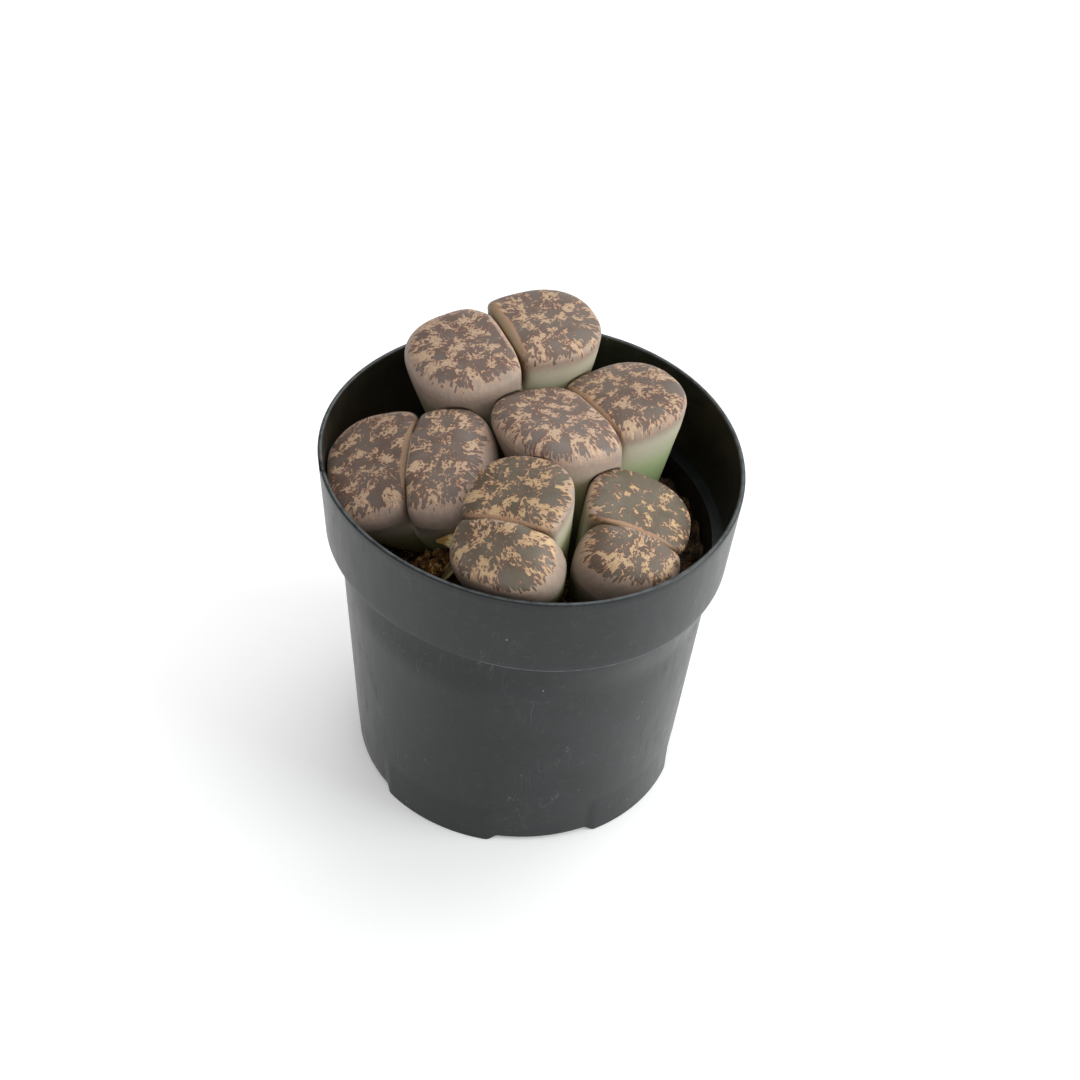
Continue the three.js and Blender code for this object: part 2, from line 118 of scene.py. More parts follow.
# Fine relief of the soil's top. scale: waves in a mm. It fades out at the pot's wall.
GRIT = Sizes(
    depth=0.55,
    grain_scale=0.8, grain_octaves=4, grain_share=1.6, grain_mean=0.7,
    lump_scale=0.35, lump_share=0.8,
    fades_from=0.97,
)
CRUMBS = Sizes(
    count=60,          # the solids' own crumbs
    fine_count=520,
    seed=20417,
    size=(0.8, 2.1),   # radius
    size_power=1.6,    # above 1: most of them are small
    fine_size=(0.35, 1.0),
    margin=3.6,        # bare edge along the pot
    fine_margin=1.2,
    fine_lift=0.35,    # share of a fine crumb's radius that lifts it out
    width=(0.6, 1.0),  # shares of its length
    thickness=(0.55, 0.9),
    tone=0.5,
    splits=2,          # how often the sphere's faces are split
    dents=((0.45, 1.7, (7.3, 0, 0)), (0.2, 4.1, (0, 3.1, 0))),  # depth, scale, step by crumb
    sharp_angle=50.0,
)

# ---------- plants ----------

LEAF = Sizes(
    around=216,
    crown_rows=56,
    body_rows=52,
    row_spacing=1.3,    # above 1: the body's rows are closer near the shoulder
    oval_exponent=2.3,
    corner_sharpness=13.0,
    far_from=0.5,       # share of the length where the far corner's own sharpness is full
    middle=0.42,        # place of the crown's middle, as a share of the depth
    inner_reach=1.7,
    crown_outside=2.8,  # exponents of the crown's curve
    crown_inside=4.0,
    inside_power=1.5,
    lip_from=0.5,
    lip_to=0.85,
    taper=1.15,
)
LEAF_ROWS = LEAF.crown_rows + LEAF.body_rows
LEAF_POINTS = LEAF_ROWS * LEAF.around + 2  # with the middle points of its two ends
FISSURE = Sizes(width=0.5, open_to=0.1, closed_from=0.3, overlap=1.3)
ROOT = Sizes(
    top_radius=3.2, tip_radius=1.4, length=9.0, sunk=3.0, sides=24, rows=12,
    ripple=0.05, ripples=9,
)
# How the pattern of the skin lies on a leaf.
SKIN = Sizes(
    at_fissure=(0.5, 0.72),  # from the leaf's sides to its flank on the fissure
    pull=0.45,               # how much the pattern is drawn out towards the shoulder
    border_stretch=0.42,     # the teeth's height in the pattern's own units
    apart=40.0,              # step in the pattern from leaf to leaf
    fissure_edge=-1.0,       # where the dark face ends on the fissure, unless a leaf says so
)

# Each plant body. at: middle of the fissure at the top. lean: sideways run of the axis for each
# unit of rise. fissure: its direction in degrees from +X. length: from the top to the neck.
# neck: section at the neck as a share of the one at the shoulder.
# Each leaf. half: half its length along the fissure. depth: from the fissure outwards.
# tilt: fall of its face outwards, degrees. crown: drop of the face's rounded margin. lip: its
# smaller drop on the fissure. shift, rise: place of the leaf along the fissure and upwards.
# far_corner: the corner sharpness at its far end, where that is softer.
# Its skin. face_edge: how far above the shoulder the dark face ends, with face_shift (mm,
# degrees) more on one side and fissure_edge on the fissure. dark: threshold of the pattern,
# a higher one is darker. olive, green: shares in the face and low on the side. band: width
# of the tan band along the fissure.
HEADS = (
    dict(
        name="head_back_left", at=(-6.7, 19.5, 70.0), lean=(-0.08, 0.05),
        fissure=-65.0, length=26.0, neck=0.58,
        leaves=(
            dict(half=9.4, depth=15.6, tilt=2, crown=2.3, lip=1.5, shift=0, rise=0,
                 face_edge=0.3, dark=0.565, olive=0.35, green=1.0, band=2.5),
            dict(half=10.5, depth=15.5, tilt=5, crown=3.2, lip=0.8, shift=1.1, rise=0.4,
                 far_corner=5.0,
                 face_edge=2.2, dark=0.555, olive=0.1, green=0.25, band=0),
        ),
    ),
    dict(
        name="head_middle", at=(7.8, 6.9, 66.5), lean=(-0.1, 0.17),
        fissure=-58.0, length=25.0, neck=0.45,
        leaves=(
            dict(half=9.7, depth=15.2, tilt=-5, crown=2.7, lip=1.5, shift=0, rise=0,
                 face_edge=0.3, dark=0.57, olive=0.3, green=1.0, band=1.8),
            dict(half=10.9, depth=15.9, tilt=-9, crown=3.8, lip=1.1, shift=2, rise=0.9,
                 face_edge=1.0, dark=0.572, olive=0.05, green=0.15, band=0),
        ),
    ),
    dict(
        name="head_left", at=(-19.7, -5.2, 64.5), lean=(-0.32, -0.14),
        fissure=-94.0, length=23.0, neck=0.34,
        leaves=(
            dict(half=11.1, depth=12.7, tilt=6, crown=5.2, lip=1.4, shift=0, rise=0,
                 face_edge=3.0, dark=0.582, olive=0.25, green=0.4, band=0,
                 face_shift=(1.3, 50.0)),
            dict(half=11.2, depth=15.6, tilt=6, crown=4.4, lip=1.2, shift=-1.7, rise=-1.9,
                 face_edge=2.8, dark=0.577, olive=0.2, green=0.4, band=1.7),
        ),
    ),
    dict(
        name="head_front", at=(-3.9, -21.8, 67.2), lean=(-0.32, -0.38),
        fissure=-14.0, length=23.0, neck=0.36,
        leaves=(
            dict(half=8.2, depth=13, tilt=11, crown=2.5, lip=1.4, shift=0, rise=0,
                 face_edge=0.7, dark=0.58, olive=0.9, green=0.8, band=1.7),
            dict(half=8.6, depth=9.6, tilt=11, crown=7.3, lip=3.6, shift=0.7, rise=3.4,
                 face_edge=4.4, dark=0.575, olive=0.8, green=0.3, band=0,
                 face_shift=(1.0, 170.0), fissure_edge=2.6),
        ),
    ),
    dict(
        name="head_right", at=(16.7, -17.2, 62.7), lean=(0.35, -0.33),
        fissure=-10.0, length=23.0, neck=0.34,
        leaves=(
            dict(half=8.5, depth=12.5, tilt=11, crown=2.7, lip=1.4, shift=0, rise=0,
                 face_edge=0.7, dark=0.636, olive=1.0, green=0.7, band=1.7),
            dict(half=8, depth=9.4, tilt=11, crown=6.2, lip=2.5, shift=0.4, rise=2.3,
                 face_edge=4.3, dark=0.575, olive=0.65, green=0.4, band=0,
                 face_shift=(2.1, 50.0), fissure_edge=1.8),
        ),
    ),
)

# A flake of old leaf skin: a thin blade pressed into the heaped soil, bent over to the left.
DRY_SKIN = Sizes(
    foot=(-12.6, -14.8, 47.8),
    knee=(-6.8, -16.7, 58.9),  # control point of its bend
    tip=(-13.7, -15.7, 56.4),
    across=(0.1, 0.62, 0.78),  # direction of its width
    width=3.6,                 # at its widest
    foot_share=0.45,           # shares of that width at its two ends
    tip_share=0.12,
    hollow=3.2,                # radius of the curl across it
    thickness=0.6,
    thinned=0.75,              # share of the thickness lost at its edges
    ripple=0.12,
    ripple_scale=(9.0, 2.5),   # across and along
    ripple_place=4.0,
    columns=36,
    rows=60,
)


# ---------- stage ----------

FLOOR = Sizes(reach=6000.0, shade=0.88, cloud_depth=0.04, cloud_scale=3.0, glow=0.2)
# rise: where the world gets lighter on its X axis, and its two shades.
WORLD = Sizes(rise=(-0.9, 0.6, 0.1, 1.0), strength=0.9)
# Name, place and size in metres, watts, colour.
LIGHTS = (
    ("top_back_right", (0.3, 0.6, 1.2), 1.2, 8.0, (1.0, 1.0, 1.0)),
    ("side_right", (1.1, -0.25, 0.4), 0.7, 9.5, (0.93, 1.0, 1.0)),
    ("top_front_left", (-0.5, -0.6, 1.2), 1.0, 4.0, (1.0, 1.0, 1.0)),
)
LIGHT_AIM = (0.0, 0.0, 0.05)  # metres


# ---------- small helpers ----------

def smoothstep(x, low, high):
    t = np.clip((x - low) / (high - low), 0.0, 1.0)
    return t * t * (3.0 - 2.0 * t)


def lerp(a, b, t):
    return a + (b - a) * t


def random_source(seed):
    """The same draws as in the part's source."""
    state = seed
    while True:
        state = (state * 1664525 + 1013904223) % 4294967296
        yield state / 4294967296


def full_turn(steps):
    return 2 * math.pi * np.arange(steps) / steps


def add_object(name, data):
    thing = bpy.data.objects.new(name, data)
    bpy.context.scene.collection.objects.link(thing)
    return thing


def make_object(name, points, faces, attributes=None):
    """A smooth mesh object from points in millimetres."""
    mesh = bpy.data.meshes.new(name)
    mesh.from_pydata((np.asarray(points) * MM).tolist(), [], faces)
    corners = np.empty(len(mesh.loops), np.int32)
    mesh.loops.foreach_get("vertex_index", corners)
    for key, values in (attributes or {}).items():
        values = np.asarray(values, np.float32)[corners]
        kind = "FLOAT" if values.ndim == 1 else "FLOAT_VECTOR"
        field = mesh.attributes.new(key, kind, "CORNER")
        field.data.foreach_set("value" if values.ndim == 1 else "vector", values.ravel())
    mesh.shade_smooth()
    return add_object(name, mesh)


def make_piece(name, points, faces, material, replaced=None, attributes=None):
    """A mesh object that rides on the part's one body."""
    piece = make_object(name, points, faces, attributes)
    piece.data.materials.append(material)
    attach(piece, "root")
    if replaced:
        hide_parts(replaced)
    return piece


def stack_faces(rows, columns, first=0):
    """Quads between rows of points that each run counterclockwise, the top row first."""
    faces = []
    for row in range(rows - 1):
        for i in range(columns):
            j = (i + 1) % columns
            a, b = first + row * columns, first + (row + 1) * columns
            faces.append((a + i, b + i, b + j, a + j))
    return faces


def tube_faces(rows, columns, first=0):
    """Stacked quads with one flat face at each end."""
    last = first + (rows - 1) * columns
    ends = [tuple(range(first, first + columns)), tuple(range(last + columns - 1, last - 1, -1))]
    return stack_faces(rows, columns, first) + ends


def capped_faces(rows, columns, first=0):
    """Stacked quads with a fan at each end. The two middle points come after the rows."""
    faces = stack_faces(rows, columns, first)
    top = first + rows * columns
    last = top - columns
    for i in range(columns):
        j = (i + 1) % columns
        faces += [(top, first + i, first + j), (top + 1, last + j, last + i)]
    return faces


# ---------- pot ----------

def warped_radius(radius, angle, z):
    share = smoothstep(z, POT.round_below, COLLAR_FOOT)
    squeeze = RIM_WARP.squeeze * np.cos(2 * (angle - math.radians(RIM_WARP.narrow_at)))
    lobes = RIM_WARP.lobes * np.cos(3 * (angle - math.radians(RIM_WARP.lobe_at)))
    return radius * (1 + share * (lobes - squeeze))


def body_radius(z):
    return lerp(POT.body_foot_radius, POT.body_top_radius, z / COLLAR_FOOT)


def arc_points(centre_r, centre_z, radius, start, end, steps):
    angles = np.radians(np.linspace(start, end, steps + 1))
    return [(centre_r + radius * math.cos(a), centre_z + radius * math.sin(a)) for a in angles]


def straight(start, end, steps):
    return [tuple(lerp(np.array(start), np.array(end), i / steps)) for i in range(1, steps)]


def wall_profile(outer_foot, low):
    """The wall's section from under the floor round the rim to the floor's inside."""
    underside = FEET.height + POT.floor_recess
    floor_top = underside + POT.floor_thickness
    corner = POT.inner_corner_radius
    corner_z = floor_top + corner
    corner_r = body_radius(corner_z) - POT.wall - corner
    edge = POT.edge_radius
    lip_r = POT.rim_radius - POT.lip_radius
    lip_z = POT.height - POT.lip_radius
    shelf = COLLAR_FOOT + POT.wall
    half_lip = POT.lip_radius / 2
    steps = WALL_STEPS
    foot_end = (body_radius(FEET.fades_at), FEET.fades_at)
    under_collar = (POT.body_top_radius, COLLAR_FOOT)
    collar_start = (POT.collar_foot_radius, COLLAR_FOOT + half_lip)
    ledge = (POT.ledge_radius, shelf)
    points = [(POT.floor_radius, underside)]
    points += [(POT.floor_radius + POT.floor_recess / 2, low)]
    points += arc_points(outer_foot - edge, low + edge, edge, -90, 0, steps.edge)
    points += [foot_end]
    points += straight(foot_end, under_collar, steps.body) + [under_collar]
    points += arc_points(POT.collar_foot_radius - half_lip, COLLAR_FOOT + half_lip, half_lip,
                         -90, 0, steps.collar_edge)
    points += straight(collar_start, (POT.rim_radius, lip_z), steps.collar)
    points += arc_points(lip_r, lip_z, POT.lip_radius, 0, 180, steps.lip)
    points += straight((lip_r - POT.lip_radius, lip_z), ledge, steps.inside) + [ledge]
    points += [(POT.body_top_radius - POT.wall, shelf)]
    points += [(body_radius(POT.round_below) - POT.wall, POT.round_below)]
    points += arc_points(corner_r, corner_z, corner, 0, -90, steps.inner_corner)
    return np.array(points)


def foot_share(angles):
    offsets = []
    for middle in FEET.angles:
        turned = np.degrees(angles) - middle
        offsets.append(np.abs(turned - 360 * np.round(turned / 360)))
    offset = np.min(offsets, axis=0) - FEET.full_span / 2
    return 1 - smoothstep(offset, 0.0, FEET.ramp)


def pot_points():
    angles = full_turn(POT.segments)
    plain = wall_profile(POT.body_foot_radius, FEET.height)
    footed = wall_profile(FEET.outer_radius, 0.0)
    share = foot_share(angles)[None, :, None]
    section = plain[:, None, :] * (1 - share) + footed[:, None, :] * share
    radius, z = section[..., 0], section[..., 1]
    turn = np.broadcast_to(angles, z.shape)
    radius = warped_radius(radius, turn, z)
    outside = radius > POT.collar_foot_radius - SEAM.depth
    on_collar = (z > COLLAR_FOOT + SEAM.starts) & outside
    off_seam = (np.degrees(turn) - SEAM.angle) * math.radians(POT.rim_radius)
    radius = radius + on_collar * SEAM.height * np.exp(-(off_seam / SEAM.width) ** 2)
    off_nick = (np.degrees(turn) - NICK.angle) / NICK.width
    near_rim = smoothstep(z, POT.height - NICK.reach, POT.height)
    z = z - NICK.depth * np.exp(-off_nick ** 2) * near_rim
    return np.stack([radius * np.cos(turn), radius * np.sin(turn), z], axis=-1)


def combine(piece, tools, operation):
    """Cuts closed tool meshes out of a piece or joins them to it, and removes them."""
    for tool in tools:
        modifier = piece.modifiers.new("combine", "BOOLEAN")
        modifier.object = tool
        modifier.operation = operation
        modifier.solver = "MANIFOLD"
        with bpy.context.temp_override(object=piece, active_object=piece):
            bpy.ops.object.modifier_apply(modifier=modifier.name)
        bpy.data.objects.remove(tool)


def without_slivers(piece):
    """Merges the nearly equal points that joining meshes leaves."""
    mesh = bmesh.new()
    mesh.from_mesh(piece.data)
    bmesh.ops.remove_doubles(mesh, verts=mesh.verts, dist=SLIVER * MM)
    bmesh.ops.triangulate(mesh, faces=[face for face in mesh.faces if len(face.verts) > 4])
    mesh.to_mesh(piece.data)
    mesh.free()


def drain_tool(angle):
    sides, radius = DRAIN.sides, DRAIN.radius
    turns = full_turn(sides)
    x = DRAIN.ring_radius * math.cos(angle) + radius * np.cos(turns)
    y = DRAIN.ring_radius * math.sin(angle) + radius * np.sin(turns)
    points = [(a, b, level) for level in (DRAIN.high, DRAIN.low) for a, b in zip(x, y)]
    return make_object("drain_tool", points, tube_faces(2, sides))


def build_pot(material):
    rows = pot_points()[::-1]
    points = rows.reshape(-1, 3).tolist()
    points += [(0, 0, rows[0, 0, 2]), (0, 0, rows[-1, 0, 2])]
    faces = capped_faces(*rows.shape[:2])
    piece = make_piece("pot_shell", points, faces, material, "pot")
    count = DRAIN.count
    angles = [math.radians(DRAIN.first_angle + 360 * i / count) for i in range(count)]
    combine(piece, [drain_tool(angle) for angle in angles], "DIFFERENCE")
    piece.data.set_sharp_from_angle(angle=math.radians(POT.sharp_angle))


# ---------- soil ----------

def soil_height(x, y):
    height = SOIL.level
    for mound_x, mound_y, rise, spread in SOIL.mounds:
        height = height + rise * np.exp(-((x - mound_x) ** 2 + (y - mound_y) ** 2) / spread ** 2)
    x_wave, phase, y_wave, slant_x, slant_y = SOIL.waves
    waves = np.sin(x_wave * x + phase) * np.cos(y_wave * y) + np.sin(slant_x * x + slant_y * y)
    return height + SOIL.waviness * waves


def soil_radius(z):
    return body_radius(z) - POT.wall - GAP


def build_soil(material):
    sectors, rings = SOIL.sectors, SOIL.rings
    turns = full_turn(sectors)
    edge = soil_radius(POT.round_below)
    floor = FEET.height + POT.floor_recess + POT.floor_thickness + GAP
    corner = POT.inner_corner_radius
    shares = np.arange(1, rings + 1)[:, None] / rings
    radius = warped_radius(edge * shares, turns[None, :], SOIL.level)
    x, y = radius * np.cos(turns), radius * np.sin(turns)
    z = soil_height(x, y)
    for row in range(rings):
        fade = 1 - smoothstep(shares[row, 0], GRIT.fades_from, 1.0)
        for i in range(sectors):
            place = Vector((x[row, i], y[row, i], 0.0))
            grains = noise.turbulence(place * GRIT.grain_scale, GRIT.grain_octaves, True)
            lumps = noise.noise(place * GRIT.lump_scale)
            relief = GRIT.grain_share * grains - GRIT.grain_mean + GRIT.lump_share * lumps
            z[row, i] += fade * GRIT.depth * relief
    rows = [np.stack([x, y, z], axis=-1)]
    foot = soil_radius(floor + corner)
    for r, level in ((edge, POT.round_below), (foot, floor + corner), (foot - corner, floor)):
        ring = np.stack([r * np.cos(turns), r * np.sin(turns), np.full(sectors, level)], axis=-1)
        rows.append(ring[None])
    rows = np.concatenate(rows)
    points = rows.reshape(-1, 3).tolist()
    points += [(0, 0, float(soil_height(0.0, 0.0))), (0, 0, floor)]
    make_piece("soil_surface", points, capped_faces(len(rows), sectors), material, "soil")


def crumb_sphere(subdivisions):
    """Points and triangles of an icosphere of radius 1."""
    golden = (1 + math.sqrt(5)) / 2
    points = [Vector(p).normalized() for p in (
        (-1, golden, 0), (1, golden, 0), (-1, -golden, 0), (1, -golden, 0),
        (0, -1, golden), (0, 1, golden), (0, -1, -golden), (0, 1, -golden),
        (golden, 0, -1), (golden, 0, 1), (-golden, 0, -1), (-golden, 0, 1))]
    faces = [(0, 11, 5), (0, 5, 1), (0, 1, 7), (0, 7, 10), (0, 10, 11), (1, 5, 9), (5, 11, 4),
             (11, 10, 2), (10, 7, 6), (7, 1, 8), (3, 9, 4), (3, 4, 2), (3, 2, 6), (3, 6, 8),
             (3, 8, 9), (4, 9, 5), (2, 4, 11), (6, 2, 10), (8, 6, 7), (9, 8, 1)]
    for _ in range(subdivisions):
        middles, finer = {}, []

        def middle(a, b):
            key = (min(a, b), max(a, b))
            if key not in middles:
                middles[key] = len(points)
                points.append(((points[a] + points[b]) / 2).normalized())
            return middles[key]

        for a, b, c in faces:
            ab, bc, ca = middle(a, b), middle(b, c), middle(c, a)
            finer += [(a, ab, ca), (b, bc, ab), (c, ca, bc), (ab, bc, ca)]
        faces = finer
    return points, faces


def build_crumbs(material):
    """Gritty crumbs, half sunk in the surface: the solids' own, then many finer ones."""
    draw = random_source(CRUMBS.seed)
    sphere, triangles = crumb_sphere(CRUMBS.splits)
    points, faces, shade = [], [], []
    for index in range(CRUMBS.count + CRUMBS.fine_count):
        fine = index >= CRUMBS.count
        if fine:
            size, margin = lerp(*CRUMBS.fine_size, next(draw)), CRUMBS.fine_margin
        else:
            size, margin = lerp(*CRUMBS.size, next(draw) ** CRUMBS.size_power), CRUMBS.margin
        angle = 2 * math.pi * next(draw)
        radius = (soil_radius(SOIL.level) - margin) * math.sqrt(next(draw))
        x, y = radius * math.cos(angle), radius * math.sin(angle)
        next(draw)      # in the solids this one picks the crumb's shape
        stretch = (1.0, lerp(*CRUMBS.width, next(draw)), lerp(*CRUMBS.thickness, next(draw)))
        turn = Matrix.Rotation(2 * math.pi * next(draw), 3, "Y")
        turn = turn @ Matrix.Rotation(2 * math.pi * next(draw), 3, "X")
        z = float(soil_height(x, y)) + (CRUMBS.fine_lift * size if fine else 0)
        first = len(points)
        tone = next(draw) if fine else CRUMBS.tone
        for p in sphere:
            rough = 1
            for depth, scale, step in CRUMBS.dents:
                rough += depth * noise.noise(p * scale + Vector([index * a for a in step]))
            q = turn @ Vector([a * b for a, b in zip(p * rough * size, stretch)])
            points.append((x + q.x, y + q.y, z + q.z))
            shade.append(tone)
        faces += [tuple(first + i for i in face) for face in triangles]
    piece = make_piece("soil_crumbs", points, faces, material, attributes={"tone": shade})
    piece.data.set_sharp_from_angle(angle=math.radians(CRUMBS.sharp_angle))


# ---------- plants ----------

def leaf_outline(leaf, angle):
    half_gap = FISSURE.width / 2
    middle = LEAF.middle * leaf["depth"] + half_gap
    along, out = np.cos(angle), np.sin(angle)
    reach = np.where(out > 0, leaf["depth"] + half_gap - middle, LEAF.inner_reach * middle)
    power = LEAF.oval_exponent
    oval = ((np.abs(along) / leaf["half"]) ** power + (np.abs(out) / reach) ** power) ** (-1 / power)
    flat = (middle - half_gap) / np.maximum(-out, 1e-3)
    far_sharp = leaf.get("far_corner", LEAF.corner_sharpness)
    sharp = lerp(LEAF.corner_sharpness, far_sharp, smoothstep(-along, 0.0, LEAF.far_from))
    radius = (oval ** -sharp + flat ** -sharp) ** (-1 / sharp)
    return radius * along, middle + radius * out, middle


def leaf_rows(head, leaf, side):
    """Rows of points from the crown's middle to the neck, in the pair's frame, and what the
    skin's material needs to know at each."""
    angle = full_turn(LEAF.around)
    edge_x, edge_y, middle = leaf_outline(leaf, angle)
    inward = np.maximum(0.0, -np.sin(angle))
    exponent = lerp(LEAF.crown_outside, LEAF.crown_inside, inward ** LEAF.inside_power)
    fall = math.tan(math.radians(leaf["tilt"]))
    turn = (math.pi / 2 * np.arange(1, LEAF.crown_rows + 1) / LEAF.crown_rows)[:, None]
    lipped = smoothstep(-np.sin(angle), LEAF.lip_from, LEAF.lip_to)
    full_drop = lerp(leaf["crown"], leaf["lip"], lipped)
    share = np.sin(turn) ** (2 / exponent)
    drop = full_drop * (1 - np.maximum(np.cos(turn), 0) ** (2 / exponent))
    y = lerp(middle, edge_y, share)
    crown = np.stack([share * edge_x, y, -fall * y - drop], axis=-1)
    t = (np.arange(1, LEAF.body_rows + 1) / LEAF.body_rows)[:, None] ** LEAF.row_spacing
    scale = 1 - (1 - head["neck"]) * t ** LEAF.taper
    closing = FISSURE.overlap * smoothstep(t, FISSURE.open_to, FISSURE.closed_from)
    body_y = scale * edge_y - closing * (1 - np.sin(angle)) / 2
    shoulder = -fall * edge_y - full_drop
    body = np.stack([scale * edge_x, body_y, lerp(shoulder, -head["length"], t)], axis=-1)
    rows = np.concatenate([crown, body])
    z = rows[..., 2]
    rows[..., 2] = z + leaf["rise"] * np.maximum(0.0, 1 + np.minimum(0.0, z) / head["length"])
    rows[..., 0] += leaf["shift"]
    steps = np.linalg.norm(np.diff(rows, axis=0), axis=-1)
    along = np.concatenate([np.zeros((1, LEAF.around)), np.cumsum(steps, axis=0)])
    above = along[LEAF.crown_rows - 1] - along
    rows[..., 1] *= side
    reach = np.concatenate([share, np.ones_like(t) * np.ones_like(angle)])
    pulled = lerp(reach, 1 - (1 - reach) ** 2, SKIN.pull)
    pattern = np.stack([pulled * edge_x, lerp(middle, edge_y, pulled), 0 * above], axis=-1)
    border = np.stack([edge_x + 0 * above, edge_y + 0 * above, SKIN.border_stretch * above], axis=-1)
    shift, shift_to = leaf.get("face_shift", (0.0, 0.0))
    face_edge = leaf["face_edge"] + shift * np.cos(angle - math.radians(shift_to))
    on_fissure = smoothstep(inward, *SKIN.at_fissure)
    face_edge = lerp(face_edge, leaf.get("fissure_edge", SKIN.fissure_edge), on_fissure)
    return rows, {
        "above": above,
        "inward": inward + 0 * above,
        "pattern": pattern,
        "border": border,
        "face_edge": face_edge + 0 * above,
    }


def head_axes(head):
    up = np.array([*head["lean"], 1.0])
    up /= np.linalg.norm(up)
    turn = math.radians(head["fissure"])
    along = np.array([math.cos(turn), math.sin(turn), 0.0])
    along -= along @ up * up
    along /= np.linalg.norm(along)
    return np.array([along, np.cross(up, along), up])


def head_mesh(head, index):
    """Both leaves and the root, in the part's frame."""
    points, faces, fields = [], [], {}
    around = LEAF.around
    for number, (leaf, side) in enumerate(zip(head["leaves"], (1, -1))):
        rows, knows = leaf_rows(head, leaf, side)
        tip = (leaf["shift"], side * knows["pattern"][0, :, 1].mean(), rows[0, :, 2].mean())
        neck = (leaf["shift"], side * leaf["depth"] * head["neck"] / 2, rows[-1, :, 2].mean())
        own_faces = capped_faces(LEAF_ROWS, around, len(points))
        faces += own_faces if side > 0 else [face[::-1] for face in own_faces]
        points += rows.reshape(-1, 3).tolist() + [tip, neck]
        step = SKIN.apart * (2 * index + number + 1)
        for key, values in knows.items():
            flat = values.reshape(LEAF_ROWS * around, -1)
            ends = np.array([flat[:around].mean(0), flat[-around:].mean(0)])
            flat = np.concatenate([flat, ends])
            if flat.shape[1] == 3:
                flat = flat + np.array([0, 0, step])
            fields.setdefault(key, []).append(flat)
        for key in ("dark", "olive", "green", "band"):
            fields.setdefault(key, []).append(np.full((LEAF_POINTS, 1), float(leaf[key])))
    root_top = -head["length"] + ROOT.sunk
    turns = full_turn(ROOT.sides)
    faces += tube_faces(ROOT.rows, ROOT.sides, len(points))
    for row in range(ROOT.rows):
        t = row / (ROOT.rows - 1)
        radius = lerp(ROOT.top_radius, ROOT.tip_radius, t)
        radius *= 1 + ROOT.ripple * math.sin(ROOT.ripples * t)
        z = root_top - t * (ROOT.length + ROOT.sunk)
        points += [(radius * math.cos(a), radius * math.sin(a), z) for a in turns]
    attributes = {}
    for key, blocks in fields.items():
        filler = np.repeat(blocks[0][-1:], ROOT.rows * ROOT.sides, axis=0)
        joined = np.concatenate(blocks + [filler])
        attributes[key] = joined[:, 0] if joined.shape[1] == 1 else joined
    world = np.array(points) @ head_axes(head) + np.array(head["at"])
    return world, faces, attributes


def pressed_on_rim(points):
    """Keeps points clear of the inside of the rim."""
    radius = np.hypot(points[:, 0], points[:, 1])
    angle = np.arctan2(points[:, 1], points[:, 0])
    z = points[:, 2]
    shelf = COLLAR_FOOT + POT.wall
    wall = (POT.ledge_radius, POT.rim_radius - 2 * POT.lip_radius)
    limit = warped_radius(np.interp(z, (shelf, POT.height), wall), angle, z) - GAP
    inside = (z > shelf) & (z < POT.height + GAP) & (radius > limit)
    factor = np.where(inside, limit / radius, 1.0)
    return points * np.stack([factor, factor, np.ones_like(factor)], axis=-1)


def pressed_on_head(points, other_points, other_faces):
    """Keeps points clear of a neighbouring head, by moving them out to its surface."""
    tree = BVHTree.FromPolygons(other_points.tolist(), other_faces)
    low, high = other_points.min(0) - NEAR, other_points.max(0) + NEAR
    near = np.nonzero(((points > low) & (points < high)).all(axis=1))[0]
    moved = points.copy()
    for i in near:
        place = Vector(points[i])
        surface, normal, _, distance = tree.find_nearest(place)
        height = (place - surface).dot(normal)
        if height < GAP and (height < 0 or distance < GAP):
            moved[i] = surface + normal * GAP
    return moved


def head_shells(points, faces, attributes):
    """The closed meshes of a head one by one: its two leaves and its root."""
    limits = (0, LEAF_POINTS, 2 * LEAF_POINTS, len(points))
    shells = []
    for low, high in zip(limits, limits[1:]):
        own = [tuple(i - low for i in face) for face in faces if low <= face[0] < high]
        fields = {key: values[low:high] for key, values in attributes.items()}
        shells.append((points[low:high], own, fields))
    return shells


def build_heads(material):
    shapes = [head_mesh(head, index) for index, head in enumerate(HEADS)]
    for index, head in enumerate(HEADS):
        points, faces, attributes = shapes[index]
        points = pressed_on_rim(points)
        for other_points, other_faces, _ in shapes[index + 1:]:
            points = pressed_on_head(points, other_points, other_faces)
        name = head["name"]
        (points, faces, attributes), *others = head_shells(points, faces, attributes)
        piece = make_piece(name + "_skin", points, faces, material, name, attributes)
        combine(piece, [make_object("shell", *shell) for shell in others], "UNION")
        without_slivers(piece)


# ---------- dry skin ----------

